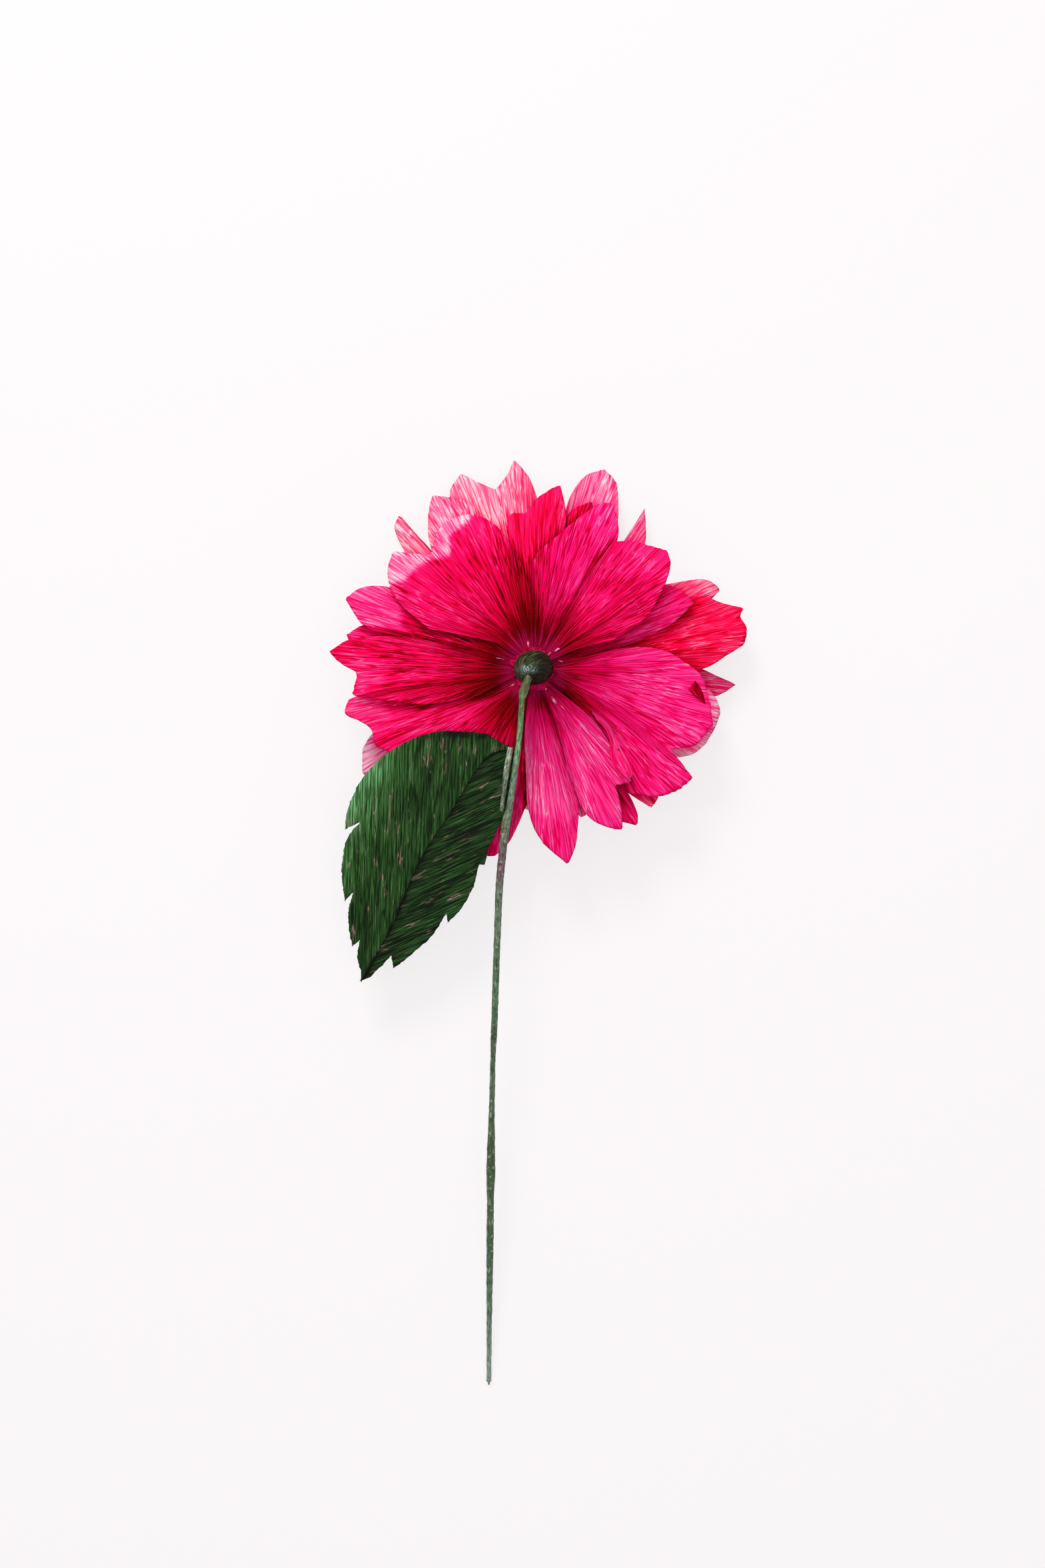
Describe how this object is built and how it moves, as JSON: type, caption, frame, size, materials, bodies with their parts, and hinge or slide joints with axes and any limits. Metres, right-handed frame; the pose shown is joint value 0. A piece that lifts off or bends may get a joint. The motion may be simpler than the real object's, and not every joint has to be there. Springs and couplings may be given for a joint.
{
  "type": "paper flower",
  "caption": "Crimson crepe-paper flower lying face down: layered petals on a core, green calyx ball, paper-wrapped wire stem and one two-piece green leaf.",
  "frame": {"origin": "on the surface the flower lies on, under the middle of its overall box", "axes": "+Z up, out of the back of the flower head; +Y along the flower from the stem's cut end towards the head; +X to the right as seen from above with +Y up"},
  "size_m": [0.1708, 0.3868, 0.0565],
  "materials": {
    "crimson_crepe": "matte",
    "pale_pink_crepe": "matte",
    "pink_crepe": "matte",
    "core_card": "matte",
    "calyx_green": "gloss",
    "stem_tape": "satin",
    "steel_wire": "satin",
    "leaf_crepe": "matte",
    "stalk_paper": "satin"
  },
  "bodies": {
    "root": {"petal_top_left_broad": "crimson_crepe", "petal_top_right": "crimson_crepe", "petal_bottom_right": "crimson_crepe", "petal_left": "crimson_crepe", "petal_top": "crimson_crepe", "petal_right_broad": "crimson_crepe", "petal_bottom": "crimson_crepe", "petal_left_upper": "crimson_crepe", "petal_left_lower_broad": "crimson_crepe", "petal_top_centre": "crimson_crepe", "petal_right_upper": "crimson_crepe", "petal_bottom_right_inner": "crimson_crepe", "petal_bottom_left_inner": "crimson_crepe", "petal_left_sliver": "crimson_crepe", "petal_top_right_inner": "crimson_crepe", "petal_top_left_inner": "crimson_crepe", "petal_right_red": "crimson_crepe", "petal_lower_right_red": "crimson_crepe", "pale_petal_top": "pale_pink_crepe", "pale_petal_right_upper": "pale_pink_crepe", "pale_petal_right_lower": "pale_pink_crepe", "pale_petal_bottom": "pale_pink_crepe", "pale_petal_left_lower": "pale_pink_crepe", "pale_petal_top_round": "pale_pink_crepe", "pale_spike_top_left": "pale_pink_crepe", "pale_spike_right": "pale_pink_crepe", "pale_spike_top_right": "pale_pink_crepe", "front_petal_01": "pink_crepe", "front_petal_02": "pink_crepe", "front_petal_03": "pink_crepe", "front_petal_04": "pink_crepe", "front_petal_05": "pink_crepe", "front_petal_06": "pink_crepe", "front_petal_07": "pink_crepe", "front_petal_08": "pink_crepe", "inner_petal_01": "pink_crepe", "inner_petal_02": "pink_crepe", "inner_petal_03": "pink_crepe", "inner_petal_04": "pink_crepe", "inner_petal_05": "pink_crepe", "inner_petal_06": "pink_crepe", "inner_petal_07": "pink_crepe", "heart_petal_01": "pink_crepe", "heart_petal_02": "pink_crepe", "heart_petal_03": "pink_crepe", "heart_petal_04": "pink_crepe", "heart_petal_05": "pink_crepe", "heart_petal_06": "pink_crepe", "bud_centre": "pink_crepe", "petal_core": "core_card", "calyx_ball": "calyx_green", "stem_wrap": "stem_tape", "stem_wire": "steel_wire", "leaf_left_half": "leaf_crepe", "leaf_right_half": "leaf_crepe", "leaf_stalk": "stalk_paper"}
  },
  "joints": []
}
